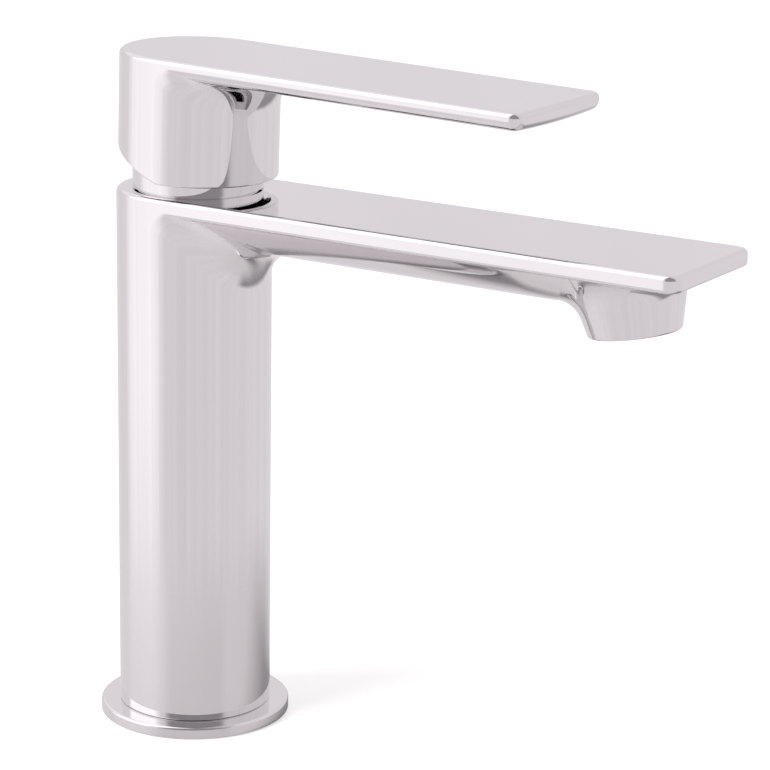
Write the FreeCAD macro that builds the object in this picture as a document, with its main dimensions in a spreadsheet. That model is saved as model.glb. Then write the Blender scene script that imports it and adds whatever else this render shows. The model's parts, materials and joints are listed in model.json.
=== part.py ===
import FreeCAD, Part
import math
import os
import re

import Sketcher

# A single-lever basin mixer. +Z is up, +X is the way the spout points, and the origin
# is the centre of the base ring's underside, on the basin deck. Lengths are in mm.

SIZES = {
    # column and base
    "column_dia": 40,
    "column_wall": 3.5,
    "body_top": 142,
    "base_ring_dia": 50,
    "base_ring_height": 3,
    "base_ring_bore": 36.2,
    "gasket_land": 2.1,
    "gasket_rim": 1.6,
    "gasket_height": 1.5,
    "spigot_height": 2,
    # spout: a flat plate flush with the body's top, with a keel that holds the waterway
    "spout_reach": 148,
    "spout_edge": 4.3,
    "spout_depth": 12.8,
    "keel_width": 18,
    "keel_flank_width": 28,
    "keel_round": 4,
    "neck_blend": 8,
    "tip_corner": 3.5,
    "edge_round": 1,
    "channel_width": 16,
    "channel_height": 6,
    "channel_floor": 3,
    # outlet nozzle, which leans forward as it comes down
    "outlet_reach": 128,
    "outlet_drop": 19.6,
    "outlet_tilt": 9.6,
    "outlet_dia": 22.8,
    "outlet_flare": 12,
    "nozzle_height": 20,
    "nozzle_round": 2,
    # aerator, in heights above the nozzle's rim
    "aerator_dia": 18.5,
    "aerator_recess": 0.6,
    "aerator_height": 8.9,
    "aerator_wall": 1.6,
    "aerator_lip": 1,
    "aerator_lip_width": 2.2,
    "aerator_gasket_height": 1.5,
    "aerator_throat_dia": 13,
    "key_slot_width": 2,
    "screen_height": 0.8,
    "screen_pitch": 2.1,
    "screen_hole_dia": 1.6,
    "insert_roof": 1.6,
    "insert_wall": 0.9,
    "insert_post_dia": 4,
    "jet_dia": 1.2,
    "jet_circle_dia": 10,
    "strainer_wall": 0.4,
    "strainer_rise": 2,
    "strainer_flange": 0.7,
    "strainer_hole_dia": 0.9,
    # cartridge bore, collar and water ports of the body
    "cartridge_x": 1.2,
    "bore_gap": 1.5,
    "collar_wall": 1.5,
    "collar_height": 7,
    "seat_depth": 20,
    "partition": 12,
    "port_tap_dia": 7,
    "port_depth": 9,
    "port_spacing": 13,
    "passage_dia": 5.4,
    # fixing stud boss inside the column's foot
    "stud_tap_dia": 6.8,
    "stud_depth": 20,
    "stud_offset": 10.5,
    "stud_boss_dia": 13,
    "stud_boss_height": 25,
    # cover ring and nut
    "cap_wall": 1.2,
    "cap_height": 8.5,
    "cap_lip": 1.2,
    "cap_gap": 1.1,
    "cap_round": 1.2,
    "nut_height": 6.8,
    "nut_slot_width": 3,
    "nut_slot_depth": 2.5,
    # cartridge: a foot, a housing, two ceramic discs, a carrier and a rotor
    "foot_step": 0.2,
    "foot_height": 5,
    "peg_dia": 3,
    "peg_length": 2.5,
    "peg_back": 8,
    "peg_spacing": 8,
    "mix_port_dia": 6,
    "mix_port_x": 6,
    "mix_port_depth": 3.2,
    "mix_window_height": 2.2,
    "seal_width": 1.1,
    "seal_height": 1.1,
    "housing_dia": 25,
    "housing_wall": 1.9,
    "chamber_height": 13.2,
    "neck_step": 2,
    "neck_wall": 1.15,
    "neck_height": 7.5,
    "oring_groove_width": 2,
    "oring_groove_depth": 1.1,
    "oring_groove_rim": 1.1,
    "fixed_disc_height": 4,
    "carrier_gap": 0.45,
    "moving_disc_height": 3,
    "mixing_recess_dia": 10,
    "mixing_recess_depth": 1.4,
    "disc_rest": 1.5,
    "carrier_wall": 0.7,
    "carrier_skirt": 1.4,
    "carrier_height": 4.4,
    "rotor_flange": 1.1,
    "rotor_rise": 1.5,
    "rotor_slot_back": 7.2,
    "rotor_slot_front": 5.2,
    "lug_width": 3.6,
    "swivel_limit": 50,
    # stem and its pin, in heights above the pin
    "pivot_rise": 2,
    "pin_dia": 3,
    "pin_length": 15,
    "stem_thickness": 5.4,
    "stem_depth": 6.4,
    "stem_foot": 3.5,
    "stem_square_start": 10,
    "stem_square": 8,
    "stem_top": 24,
    "stem_shank_dia": 3.2,
    "stem_ball_dia": 4.4,
    "stem_ball_drop": 7.2,
    # lever, in heights above the pin
    "lever_droop": 1.5,
    "lever_width": 41.1,
    "lever_top": 33.4,
    "lever_reach": 104.5,
    "blade_edge": 4.4,
    "blade_crown": 0.6,
    "blade_crown_width": 26,
    "blade_flank_width": 32,
    "lever_blend": 4,
    "lever_corner": 3,
    "hub_bottom": 1.75,
    "hub_wall": 1.9,
    "hub_roof": 4.4,
    "hub_bevel": 21,
    "hub_bevel_start": 1.6,
    "hub_boss_dia": 17,
    "hub_boss_bottom": 14.5,
    "screw_dia": 5,
    "screw_length": 5,
    "screw_height": 19.5,
    "screw_key": 2.5,
    "screw_key_depth": 2.2,
    "plug_dia": 6,
    "plug_length": 1.5,
    # clearances: a close fit, a running fit and an open gap
    "fit": 0.05,
    "running_fit": 0.1,
    "open_gap": 0.3,
}

# Places and radii that several pieces share, as expressions of the sizes
COLUMN_R = "column_dia / 2"
HOLLOW_DIA = "(column_dia - 2 * column_wall)"
PLATE_BOTTOM = "(body_top - spout_edge)"
KEEL_BOTTOM = "(body_top - spout_depth)"
COLLAR_TOP = "(body_top + collar_height)"
SEAT = "(body_top - seat_depth)"
HOLLOW_TOP = "(body_top - seat_depth - partition)"
OUTLET_Z = "(body_top - outlet_drop)"
PIVOT_Z = "(body_top + pivot_rise)"
DISC_PLANE = "(body_top - seat_depth + foot_height)"
SLIDE_PLANE = f"({DISC_PLANE} + fixed_disc_height)"
CARRIER_SEAT = f"({SLIDE_PLANE} + moving_disc_height)"
ROTOR_BOTTOM = f"({DISC_PLANE} + chamber_height - open_gap - rotor_flange)"
BORE_DIA = "(housing_dia + 2 * bore_gap)"
COLLAR_DIA = f"({BORE_DIA} + 2 * collar_wall)"
FOOT_DIA = "(housing_dia - 2 * foot_step)"
CHAMBER_DIA = "(housing_dia - 2 * housing_wall)"
NECK_DIA = "(housing_dia - 2 * neck_step)"
CAP_OPENING_DIA = f"({NECK_DIA} + 2 * cap_gap)"
MOVING_DISC_DIA = f"({CHAMBER_DIA} - 2 * (disc_rest + carrier_wall + fit + carrier_gap))"
ROTOR_FLANGE_DIA = f"({CHAMBER_DIA} - 2 * open_gap)"
NECK_TOP = "(body_top + neck_height)"
NECK_BORE_DIA = f"({NECK_DIA} - 2 * neck_wall)"
ROTOR_DIA = f"({NECK_BORE_DIA} - 2 * running_fit)"
ROTOR_TOP = f"({NECK_TOP} + rotor_rise)"
GASKET_INNER_DIA = "(base_ring_bore + 2 * gasket_land)"
GASKET_OUTER_DIA = "(base_ring_dia - 2 * gasket_rim)"
AERATOR_TOP = "(aerator_recess + aerator_height)"
AERATOR_SEAT = f"({AERATOR_TOP} + aerator_gasket_height)"
AERATOR_BORE_R = "(aerator_dia / 2 - aerator_wall)"
SCREEN_BOTTOM = "(aerator_recess + aerator_lip)"
INSERT_BOTTOM = f"({SCREEN_BOTTOM} + screen_height)"
HUB_R = "lever_width / 2"

doc = FreeCAD.newDocument("basin_mixer")
sheet = doc.addObject("Spreadsheet::Sheet", "sizes")
for row, (alias, number) in enumerate(SIZES.items(), 1):
    sheet.set(f"A{row}", alias)
    sheet.set(f"B{row}", str(number))
    sheet.setAlias(f"B{row}", alias)
doc.recompute()


def cells(text):
    """Point every size that an expression names at its cell."""
    return re.sub(r"[a-z]\w*", lambda word: f"sizes.{word[0]}" if word[0] in SIZES else word[0], text)


def value(text):
    """The number an expression has now."""
    return float(sheet.evalExpression(cells(text)))


def attach(item, body, role, offset):
    """Lay an item on one of the body's own origin planes, moved along the plane's normal."""
    plane = next(feature for feature in body.Origin.OriginFeatures if feature.Role == role)
    item.AttachmentSupport = [(plane, "")]
    item.MapMode = "FlatFace"
    item.setExpression("AttachmentOffset.Base.z", cells(offset))


def sketch_on(body, role, name, offset="0"):
    """A sketch on one of the body's own origin planes, moved along the plane's normal."""
    sketch = body.newObject("Sketcher::SketchObject", name)
    attach(sketch, body, role, offset)
    return sketch


def hold(sketch, geometry, point, across=None, up=None):
    """Tie a point of the sketch to its place from the origin."""
    for kind, text in (("DistanceX", across), ("DistanceY", up)):
        if text is not None:
            constraint = Sketcher.Constraint(kind, -1, 1, geometry, point, value(text))
            index = sketch.addConstraint(constraint)
            sketch.setExpression(f"Constraints[{index}]", cells(text))


def outline(sketch, corners):
    """Straight lines round a closed ring of (across, up) corners."""
    points = [FreeCAD.Vector(value(across), value(up), 0) for across, up in corners]
    first = sketch.GeometryCount
    for index, start in enumerate(points):
        sketch.addGeometry(Part.LineSegment(start, points[(index + 1) % len(points)]))
    for index, (across, up) in enumerate(corners):
        following = first + (index + 1) % len(corners)
        sketch.addConstraint(Sketcher.Constraint("Coincident", first + index, 2, following, 1))
        hold(sketch, first + index, 1, across, up)


def rectangle(sketch, left, right, low, high):
    outline(sketch, [(left, low), (right, low), (right, high), (left, high)])


def circle(sketch, across, up, diameter):
    centre = FreeCAD.Vector(value(across), value(up), 0)
    index = sketch.addGeometry(Part.Circle(centre, FreeCAD.Vector(0, 0, 1), value(diameter) / 2))
    hold(sketch, index, 3, across, up)
    size = sketch.addConstraint(Sketcher.Constraint("Diameter", index, value(diameter)))
    sketch.setExpression(f"Constraints[{size}]", cells(diameter))


def tongue(sketch, half, reach, corner):
    """A half round about the origin, straight sides forward, and a square end with round corners."""
    turn = math.pi / 2
    low, high, inner = f"-({half})", half, f"{reach} - {corner}"
    lines = [
        (("0", low), (inner, low)),
        ((reach, f"{corner} - ({half})"), (reach, f"({half}) - {corner}")),
        ((inner, high), ("0", high)),
    ]
    arcs = [
        (inner, f"{corner} - ({half})", corner, -turn, 0),
        (inner, f"({half}) - {corner}", corner, 0, turn),
        ("0", "0", half, turn, 3 * turn),
    ]
    for line, arc in zip(lines, arcs):
        ends = [FreeCAD.Vector(value(across), value(up), 0) for across, up in line]
        edge = sketch.addGeometry(Part.LineSegment(*ends))
        for point, (across, up) in enumerate(line, 1):
            hold(sketch, edge, point, across, up)
        across, up, radius, start, end = arc
        centre = FreeCAD.Vector(value(across), value(up), 0)
        round_edge = Part.Circle(centre, FreeCAD.Vector(0, 0, 1), value(radius))
        sketch.addGeometry(Part.ArcOfCircle(round_edge, start, end))
    for index, arc in enumerate(arcs):
        curve = 2 * index + 1
        sketch.addConstraint(Sketcher.Constraint("Coincident", curve, 1, curve - 1, 2))
        sketch.addConstraint(Sketcher.Constraint("Coincident", curve, 2, (curve + 1) % 6, 1))
        hold(sketch, curve, 3, across=arc[0])


def new_body(name):
    return doc.addObject("PartDesign::Body", name)


def pad(body, sketch, length, backwards=False):
    feature = body.newObject("PartDesign::Pad", sketch.Name + "_pad")
    feature.Profile = sketch
    feature.setExpression("Length", cells(length))
    feature.Reversed = backwards


def pocket(body, sketch, length, forwards=False, both_ways=False):
    """Cut against the sketch's normal, or along it, and stop the build if nothing was cut."""
    doc.recompute()
    before = body.Shape.Volume
    feature = body.newObject("PartDesign::Pocket", sketch.Name + "_pocket")
    feature.Profile = sketch
    feature.setExpression("Length", cells(length))
    feature.Reversed = forwards
    if both_ways:
        feature.SideType = "Symmetric"
    doc.recompute()
    if not body.Shape.Volume < before:
        raise RuntimeError(f"{feature.Name} cuts nothing")


def turned(name, corners):
    """A piece turned from a (radius, height) outline about its own upright axis."""
    body = new_body(name)
    sketch = sketch_on(body, "XZ_Plane", name + "_outline")
    outline(sketch, corners)
    feature = body.newObject("PartDesign::Revolution", name + "_turning")
    feature.Profile = sketch
    feature.ReferenceAxis = (sketch, ["V_Axis"])
    feature.Angle = 360
    return body


def fillet(body, name, radius, chosen):
    """Round the edges whose midpoint is chosen."""
    doc.recompute()
    base = body.Tip
    names = []
    for index, edge in enumerate(base.Shape.Edges, 1):
        if chosen(edge.valueAt((edge.FirstParameter + edge.LastParameter) / 2)):
            names.append(f"Edge{index}")
    feature = body.newObject("PartDesign::Fillet", name)
    feature.Base = (base, names)
    feature.setExpression("Radius", cells(radius))


def near(number, text):
    return abs(number - value(text)) < 1e-4


def place(body, across="0", up="0"):
    body.setExpression("Placement.Base.x", cells(across))
    body.setExpression("Placement.Base.z", cells(up))


def lean(body, angle):
    """Turn a piece about the Y axis; a positive angle tips its top forward."""
    body.Placement = FreeCAD.Placement(FreeCAD.Vector(), FreeCAD.Rotation(FreeCAD.Vector(0, 1, 0), 1))
    body.setExpression("Placement.Rotation.Angle", cells(f"({angle}) * 1 deg"))


def place_on_lever(body, across="0", up="0", angle="0"):
    """Put a piece at its place in the lever's own frame, which droops about the pin."""
    lean(body, f"lever_droop + ({angle})")
    droop = "(lever_droop * 1 deg)"
    place(
        body,
        f"cartridge_x + ({across}) * cos{droop} + ({up}) * sin{droop}",
        f"{PIVOT_Z} + ({up}) * cos{droop} - ({across}) * sin{droop}",
    )


def place_in_outlet(body):
    lean(body, "-outlet_tilt")
    place(body, "outlet_reach", OUTLET_Z)


def outlet_point(radius, height):
    """A point of the nozzle's section, from its radius and its height above the rim."""
    tilt = "(outlet_tilt * 1 deg)"
    return (
        f"outlet_reach + ({radius}) * cos{tilt} - ({height}) * sin{tilt}",
        f"{OUTLET_Z} + ({radius}) * sin{tilt} + ({height}) * cos{tilt}",
    )


def nozzle_radius(height):
    """The nozzle's outer radius at a height above its rim."""
    return f"(outlet_dia / 2 + ({height}) * tan(outlet_flare * 1 deg))"


def on_nozzle(point):
    """Whether a point lies on the nozzle's outer wall, above the rim and off the wall's seam."""
    middle = FreeCAD.Vector(value("outlet_reach"), 0, value(OUTLET_Z))
    leaning = FreeCAD.Rotation(FreeCAD.Vector(0, 1, 0), value("-outlet_tilt"))
    local = FreeCAD.Placement(middle, leaning).inverse().multVec(point)
    radius = FreeCAD.Vector(local.x, local.y, 0).Length
    on_seam = abs(local.y) < 1e-4 and local.x > 0
    return near(radius, nozzle_radius(str(local.z))) and local.z > 1e-4 and not on_seam


def outlet_turning(body, kind, name, corners):
    """Add or cut a shape turned about the nozzle's leaning axis."""
    sketch = sketch_on(body, "XZ_Plane", name)
    outline(sketch, [outlet_point(radius, height) for radius, height in corners])
    foot, head = outlet_point("0", "0"), outlet_point("0", "nozzle_height")
    ends = [FreeCAD.Vector(value(across), value(up), 0) for across, up in (foot, head)]
    axis = sketch.addGeometry(Part.LineSegment(*ends), True)
    hold(sketch, axis, 1, *foot)
    hold(sketch, axis, 2, *head)
    feature = body.newObject(kind, name + "_turning")
    feature.Profile = sketch
    feature.ReferenceAxis = (sketch, ["Axis0"])
    feature.Angle = 360


def base_ring():
    body = turned("base_ring", [
        ("base_ring_bore / 2", "0"),
        (f"{GASKET_INNER_DIA} / 2 - fit", "0"),
        (f"{GASKET_INNER_DIA} / 2 - fit", "gasket_height"),
        (f"{GASKET_OUTER_DIA} / 2 + fit", "gasket_height"),
        (f"{GASKET_OUTER_DIA} / 2 + fit", "0"),
        ("base_ring_dia / 2", "0"),
        ("base_ring_dia / 2", "base_ring_height"),
        ("base_ring_bore / 2", "base_ring_height"),
    ])
    fillet(body, "base_ring_rounding", "edge_round", lambda point: near(point.z, "base_ring_height")
           and near(FreeCAD.Vector(point.x, point.y, 0).Length, "base_ring_dia / 2"))


def base_gasket():
    turned("base_gasket", [
        (f"{GASKET_INNER_DIA} / 2", "0"),
        (f"{GASKET_OUTER_DIA} / 2", "0"),
        (f"{GASKET_OUTER_DIA} / 2", "gasket_height"),
        (f"{GASKET_INNER_DIA} / 2", "gasket_height"),
    ])


def body_casting():
    """Column, spout and nozzle in one casting, hollow below the cartridge seat."""
    body = new_body("body_casting")
    column = sketch_on(body, "XY_Plane", "column", "base_ring_height")
    circle(column, "0", "0", "column_dia")
    pad(body, column, "body_top - base_ring_height")

    keel = sketch_on(body, "YZ_Plane", "keel")
    keel_top = "body_top - spout_edge / 2"
    outline(keel, [
        ("-keel_flank_width / 2", PLATE_BOTTOM),
        ("-keel_width / 2", KEEL_BOTTOM),
        ("keel_width / 2", KEEL_BOTTOM),
        ("keel_flank_width / 2", PLATE_BOTTOM),
        ("keel_flank_width / 2", keel_top),
        ("-keel_flank_width / 2", keel_top),
    ])
    pad(body, keel, outlet_point("0", "outlet_drop - spout_edge")[0])
    fillet(body, "keel_rounding", "keel_round", lambda point: near(point.z, KEEL_BOTTOM)
           and near(abs(point.y), "keel_width / 2"))
    fillet(body, "neck_rounding", "neck_blend", lambda point: point.x > 0
           and near(FreeCAD.Vector(point.x, point.y, 0).Length, COLUMN_R)
           and value(KEEL_BOTTOM) - 1e-4 < point.z < value(keel_top) - 1e-4)

    outlet_turning(body, "PartDesign::Revolution", "nozzle", [
        ("0", "0"),
        (nozzle_radius("0"), "0"),
        (nozzle_radius("nozzle_height"), "nozzle_height"),
        ("0", "nozzle_height"),
    ])
    trim = sketch_on(body, "XY_Plane", "nozzle_trim", keel_top)
    rectangle(trim, "-column_dia", "2 * spout_reach", "-column_dia", "column_dia")
    pocket(body, trim, "column_dia", forwards=True)
    plate = sketch_on(body, "XY_Plane", "plate", PLATE_BOTTOM)
    tongue(plate, COLUMN_R, "spout_reach", "tip_corner")
    pad(body, plate, "spout_edge")
    fillet(body, "nozzle_rounding", "nozzle_round", on_nozzle)
    fillet(body, "plate_rounding", "edge_round", lambda point: near(point.z, "body_top"))

    collar = sketch_on(body, "XY_Plane", "collar", "body_top - edge_round")
    circle(collar, "cartridge_x", "0", COLLAR_DIA)
    pad(body, collar, "collar_height + edge_round")
    bore = sketch_on(body, "XY_Plane", "bore", COLLAR_TOP)
    circle(bore, "cartridge_x", "0", BORE_DIA)
    pocket(body, bore, "collar_height + seat_depth")

    hollow = sketch_on(body, "XY_Plane", "hollow", "base_ring_height")
    circle(hollow, "0", "0", HOLLOW_DIA)
    pocket(body, hollow, f"{HOLLOW_TOP} - base_ring_height", forwards=True)
    spigot = sketch_on(body, "XY_Plane", "spigot", "base_ring_height")
    circle(spigot, "0", "0", "base_ring_bore - 2 * running_fit")
    circle(spigot, "0", "0", HOLLOW_DIA)
    pad(body, spigot, "spigot_height", backwards=True)
    boss = sketch_on(body, "XY_Plane", "stud_boss", "base_ring_height")
    circle(boss, "-stud_offset", "0", "stud_boss_dia")
    pad(body, boss, "stud_boss_height")
    stud = sketch_on(body, "XY_Plane", "stud_hole", "base_ring_height")
    circle(stud, "-stud_offset", "0", "stud_tap_dia")
    pocket(body, stud, "stud_depth", forwards=True)

    ports = sketch_on(body, "XY_Plane", "hose_ports", HOLLOW_TOP)
    passages = sketch_on(body, "XY_Plane", "passages", SEAT)
    pegs = sketch_on(body, "XY_Plane", "peg_holes", SEAT)
    for side in ("-", ""):
        circle(ports, "cartridge_x", f"{side}port_spacing / 2", "port_tap_dia")
        circle(passages, "cartridge_x", f"{side}port_spacing / 2", "passage_dia")
        circle(pegs, "cartridge_x - peg_back", f"{side}peg_spacing / 2", "peg_dia + 2 * running_fit")
    pocket(body, ports, "port_depth", forwards=True)
    pocket(body, passages, "partition")
    pocket(body, pegs, "peg_length + open_gap")

    start = f"(cartridge_x + {BORE_DIA} / 4)"
    channel = sketch_on(body, "YZ_Plane", "channel", start)
    floor = f"{KEEL_BOTTOM} + channel_floor"
    rectangle(channel, "-channel_width / 2", "channel_width / 2", floor, f"{floor} + channel_height")
    pocket(body, channel, f"outlet_reach - {start}", forwards=True)
    outlet_turning(body, "PartDesign::Groove", "outlet_bore", [
        ("0", "0"),
        ("aerator_dia / 2", "0"),
        ("aerator_dia / 2", AERATOR_SEAT),
        ("aerator_throat_dia / 2", AERATOR_SEAT),
        ("aerator_throat_dia / 2", "outlet_drop - spout_depth + channel_floor + channel_height / 2"),
        ("0", "outlet_drop - spout_depth + channel_floor + channel_height / 2"),
    ])


def cap_ring():
    inner = f"({COLLAR_DIA} / 2 + running_fit)"
    body = turned("cap_ring", [
        (inner, "0"),
        (f"{inner} + cap_wall", "0"),
        (f"{inner} + cap_wall", "cap_height"),
        (f"{CAP_OPENING_DIA} / 2", "cap_height"),
        (f"{CAP_OPENING_DIA} / 2", "cap_height - cap_lip"),
        (inner, "cap_height - cap_lip"),
    ])
    fillet(body, "cap_rounding", "cap_round", lambda point: near(point.z, "cap_height")
           and near(FreeCAD.Vector(point.x, point.y, 0).Length, f"{inner} + cap_wall"))
    place(body, "cartridge_x", "body_top")


def cartridge_nut():
    hole, rim = f"({NECK_DIA} / 2 + running_fit)", f"({BORE_DIA} / 2 - fit)"
    body = turned("cartridge_nut", [
        (hole, "0"),
        (rim, "0"),
        (rim, "nut_height"),
        (hole, "nut_height"),
    ])
    slots = sketch_on(body, "XY_Plane", "spanner_slots", "nut_height")
    half = "nut_slot_width / 2"
    inside = f"({hole} - nut_slot_depth)"
    for inner, outer in ((inside, BORE_DIA), (f"-{BORE_DIA}", f"-{inside}")):
        rectangle(slots, inner, outer, f"-{half}", half)
        rectangle(slots, f"-{half}", half, inner, outer)
    pocket(body, slots, "nut_slot_depth")
    place(body, "cartridge_x", "body_top")


def cartridge_housing():
    shoulder = f"(body_top - {DISC_PLANE})"
    groove_high = f"{shoulder} - oring_groove_rim"
    groove_low = f"{groove_high} - oring_groove_width"
    groove_r = "housing_dia / 2 - oring_groove_depth"
    body = turned("cartridge_housing", [
        (f"{CHAMBER_DIA} / 2", "0"),
        ("housing_dia / 2", "0"),
        ("housing_dia / 2", groove_low),
        (groove_r, groove_low),
        (groove_r, groove_high),
        ("housing_dia / 2", groove_high),
        ("housing_dia / 2", shoulder),
        (f"{NECK_DIA} / 2", shoulder),
        (f"{NECK_DIA} / 2", f"{shoulder} + neck_height"),
        (f"{NECK_BORE_DIA} / 2", f"{shoulder} + neck_height"),
        (f"{NECK_BORE_DIA} / 2", "chamber_height"),
        (f"{CHAMBER_DIA} / 2", "chamber_height"),
    ])
    place(body, "cartridge_x", DISC_PLANE)


def housing_oring():
    inner, outer = "(housing_dia / 2 - oring_groove_depth + fit)", f"({BORE_DIA} / 2 - fit)"
    body = turned("housing_oring", [
        (inner, "fit"),
        (outer, "fit"),
        (outer, "oring_groove_width - fit"),
        (inner, "oring_groove_width - fit"),
    ])
    fillet(body, "oring_rounding", "oring_groove_width / 3", lambda point: True)
    place(body, "cartridge_x", "body_top - oring_groove_rim - oring_groove_width")


def cartridge_foot():
    body = turned("cartridge_base", [
        ("0", "0"),
        (f"{FOOT_DIA} / 2", "0"),
        (f"{FOOT_DIA} / 2", "foot_height"),
        ("0", "foot_height"),
    ])
    pegs = sketch_on(body, "XY_Plane", "pegs")
    inlets = sketch_on(body, "XY_Plane", "inlets", "foot_height")
    lower_seals = sketch_on(body, "XY_Plane", "lower_seal_grooves")
    upper_seals = sketch_on(body, "XY_Plane", "upper_seal_grooves", "foot_height")
    for side in ("-", ""):
        middle = f"{side}port_spacing / 2"
        circle(pegs, "-peg_back", f"{side}peg_spacing / 2", "peg_dia")
        circle(inlets, "0", middle, "passage_dia")
        circle(lower_seals, "0", middle, "passage_dia + 2 * seal_width")
        circle(upper_seals, "0", middle, "passage_dia + 2 * seal_width")
    circle(upper_seals, "mix_port_x", "0", "mix_port_dia + 2 * seal_width")
    pad(body, pegs, "peg_length", backwards=True)
    pocket(body, inlets, "foot_height")
    pocket(body, lower_seals, "seal_height", forwards=True)
    pocket(body, upper_seals, "seal_height")
    mix_port = sketch_on(body, "XY_Plane", "mix_port", "foot_height")
    circle(mix_port, "mix_port_x", "0", "mix_port_dia")
    pocket(body, mix_port, "mix_port_depth")
    window = sketch_on(body, "YZ_Plane", "mix_window", "mix_port_x")
    floor = "foot_height - mix_port_depth"
    rectangle(window, "-mix_port_dia / 2", "mix_port_dia / 2", floor,
              f"{floor} + mix_port_depth - seal_height - open_gap")
    pocket(body, window, FOOT_DIA, forwards=True)
    place(body, "cartridge_x", SEAT)


def seal(name, across, along, up, bore):
    """A square-section rubber ring round a water passage."""
    tube = doc.addObject("Part::Cylinder", name + "_outside")
    hole = doc.addObject("Part::Cylinder", name + "_inside")
    for item, radius in ((tube, f"({bore}) / 2 + seal_width - fit"), (hole, f"({bore}) / 2")):
        item.setExpression("Radius", cells(radius))
        item.setExpression("Height", cells("seal_height"))
        item.setExpression("Placement.Base.y", cells(along))
        place(item, across, up)
    ring = doc.addObject("Part::Cut", name)
    ring.Base = tube
    ring.Tool = hole
    return ring


def seal_group(name, rings):
    group = doc.addObject("Part::Compound", name)
    group.Links = rings


def inlet_seals():
    seal_group("inlet_seals", [
        seal(f"inlet_seal_{word}", "cartridge_x", f"{side}port_spacing / 2", SEAT, "passage_dia")
        for word, side in (("near", "-"), ("far", ""))
    ])


def disc_seals():
    level = f"{DISC_PLANE} - seal_height"
    rings = [
        seal(f"disc_seal_{word}", "cartridge_x", f"{side}port_spacing / 2", level, "passage_dia")
        for word, side in (("near", "-"), ("far", ""))
    ]
    rings.append(seal("disc_seal_mix", "cartridge_x + mix_port_x", "0", level, "mix_port_dia"))
    seal_group("disc_seals", rings)


def fixed_disc():
    body = turned("fixed_disc", [
        ("0", "0"),
        (f"{CHAMBER_DIA} / 2 - running_fit", "0"),
        (f"{CHAMBER_DIA} / 2 - running_fit", "fixed_disc_height"),
        ("0", "fixed_disc_height"),
    ])
    holes = sketch_on(body, "XY_Plane", "disc_holes", "fixed_disc_height")
    for side in ("-", ""):
        circle(holes, "0", f"{side}port_spacing / 2", "passage_dia")
    circle(holes, "mix_port_x", "0", "mix_port_dia")
    pocket(body, holes, "fixed_disc_height")
    place(body, "cartridge_x", DISC_PLANE)


def moving_disc():
    body = turned("moving_disc", [
        ("0", "0"),
        (f"{MOVING_DISC_DIA} / 2", "0"),
        (f"{MOVING_DISC_DIA} / 2", "moving_disc_height"),
        ("0", "moving_disc_height"),
    ])
    recess = sketch_on(body, "XY_Plane", "mixing_recess")
    circle(recess, "0", "0", "mixing_recess_dia")
    pocket(body, recess, "mixing_recess_depth", forwards=True)
    place(body, "cartridge_x - disc_rest", SLIDE_PLANE)


def disc_carrier():
    inner = f"({MOVING_DISC_DIA} / 2 + fit)"
    body = turned("disc_carrier", [
        ("0", "0"),
        (inner, "0"),
        (inner, "-carrier_skirt"),
        (f"{inner} + carrier_wall", "-carrier_skirt"),
        (f"{inner} + carrier_wall", "carrier_height"),
        ("0", "carrier_height"),
    ])
    socket = sketch_on(body, "XY_Plane", "ball_socket", "carrier_height")
    circle(socket, "disc_rest - stem_ball_drop * sin(lever_droop * 1 deg)", "0", "stem_ball_dia + open_gap")
    pocket(body, socket, "carrier_height")
    place(body, "cartridge_x - disc_rest", CARRIER_SEAT)


def rotor():
    height = f"({ROTOR_TOP} - {ROTOR_BOTTOM})"
    body = turned("rotor", [
        ("0", "0"),
        (f"{ROTOR_FLANGE_DIA} / 2", "0"),
        (f"{ROTOR_FLANGE_DIA} / 2", "rotor_flange"),
        (f"{ROTOR_DIA} / 2", "rotor_flange"),
        (f"{ROTOR_DIA} / 2", height),
        ("0", height),
    ])
    lug = sketch_on(body, "XY_Plane", "stop_lug", height)
    rectangle(lug, f"{ROTOR_DIA} / 2 - lug_width / 2", f"{NECK_DIA} / 2", "-lug_width / 2", "lug_width / 2")
    pad(body, lug, "rotor_rise - open_gap", backwards=True)
    slot = sketch_on(body, "XY_Plane", "stem_slot", height)
    half = "(stem_thickness / 2 + open_gap)"
    rectangle(slot, "-rotor_slot_back", "rotor_slot_front", f"-{half}", half)
    pocket(body, slot, height)
    pin_hole = sketch_on(body, "XZ_Plane", "rotor_pin_hole")
    circle(pin_hole, "0", f"{PIVOT_Z} - {ROTOR_BOTTOM}", "pin_dia")
    pocket(body, pin_hole, f"2 * {NECK_DIA}", both_ways=True)
    place(body, "cartridge_x", ROTOR_BOTTOM)


def limit_ring():
    inner = f"({ROTOR_DIA} / 2 + open_gap)"
    body = turned("limit_ring", [
        (inner, "0"),
        (f"{NECK_DIA} / 2", "0"),
        (f"{NECK_DIA} / 2", "rotor_rise"),
        (inner, "rotor_rise"),
    ])
    gap = sketch_on(body, "XY_Plane", "lug_gap", "rotor_rise")
    half_angle = f"(swivel_limit * 1 deg + asin((lug_width / 2 + open_gap) / {inner}))"
    outline(gap, [
        ("0", "0"),
        (NECK_DIA, f"-{NECK_DIA} * tan{half_angle}"),
        (NECK_DIA, f"{NECK_DIA} * tan{half_angle}"),
    ])
    pocket(body, gap, "rotor_rise")
    place(body, "cartridge_x", NECK_TOP)


def stem_pin():
    pin = doc.addObject("Part::Cylinder", "stem_pin")
    pin.Placement = FreeCAD.Placement(FreeCAD.Vector(), FreeCAD.Rotation(FreeCAD.Vector(1, 0, 0), -90))
    pin.setExpression("Radius", cells("pin_dia / 2"))
    pin.setExpression("Height", cells("pin_length"))
    pin.setExpression("Placement.Base.y", cells("-pin_length / 2"))
    place(pin, "cartridge_x", PIVOT_Z)


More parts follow.
